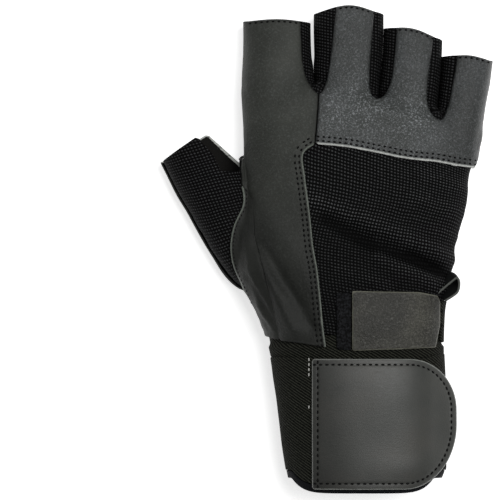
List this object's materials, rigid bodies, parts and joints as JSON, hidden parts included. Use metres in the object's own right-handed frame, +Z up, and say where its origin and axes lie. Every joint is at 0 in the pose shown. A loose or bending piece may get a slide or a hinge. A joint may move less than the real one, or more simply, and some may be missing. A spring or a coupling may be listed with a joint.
{
  "type": "weightlifting glove",
  "caption": "Half-finger leather and stretch-knit lifting glove for the right hand, with a layered palm, an open thumb and a hook-and-loop wrist wrap, lying palm down.",
  "frame": {"origin": "on the surface the glove lies on, under the middle of its outline", "axes": "+X to the little finger, +Y to the fingertips, +Z up out of the back of the hand"},
  "size_m": [0.1474, 0.2144, 0.0421],
  "materials": {
    "soft_leather": "soft grained glove leather, charcoal, semi-matt",
    "patch_leather": "smooth finished strap leather, charcoal, low sheen",
    "stretch_knit": "ribbed black stretch mesh",
    "woven_elastic": "black twill-woven elastic webbing",
    "ribbon": "black woven ribbon",
    "hem_binding": "navy woven hem binding",
    "hook_tape": "black hook tape, matt"
  },
  "bodies": {
    "root": {"index_side_leather": "soft_leather", "thumb_gusset": "soft_leather", "knuckle_leather": "soft_leather", "palm_leather": "soft_leather", "thumb_leather": "soft_leather", "palm_overlay": "soft_leather", "heel_patch": "soft_leather", "tab_strap": "soft_leather", "wrap_patch": "patch_leather", "back_knit": "stretch_knit", "fourchette_index_middle": "stretch_knit", "fourchette_middle_ring": "stretch_knit", "fourchette_ring_little": "stretch_knit", "thumb_knit": "stretch_knit", "cuff_elastic": "woven_elastic", "wrist_wrap": "woven_elastic", "tab_elastic": "woven_elastic", "pull_loop": "ribbon", "cuff_hem": "hem_binding", "tab_hook": "hook_tape"}
  },
  "joints": []
}
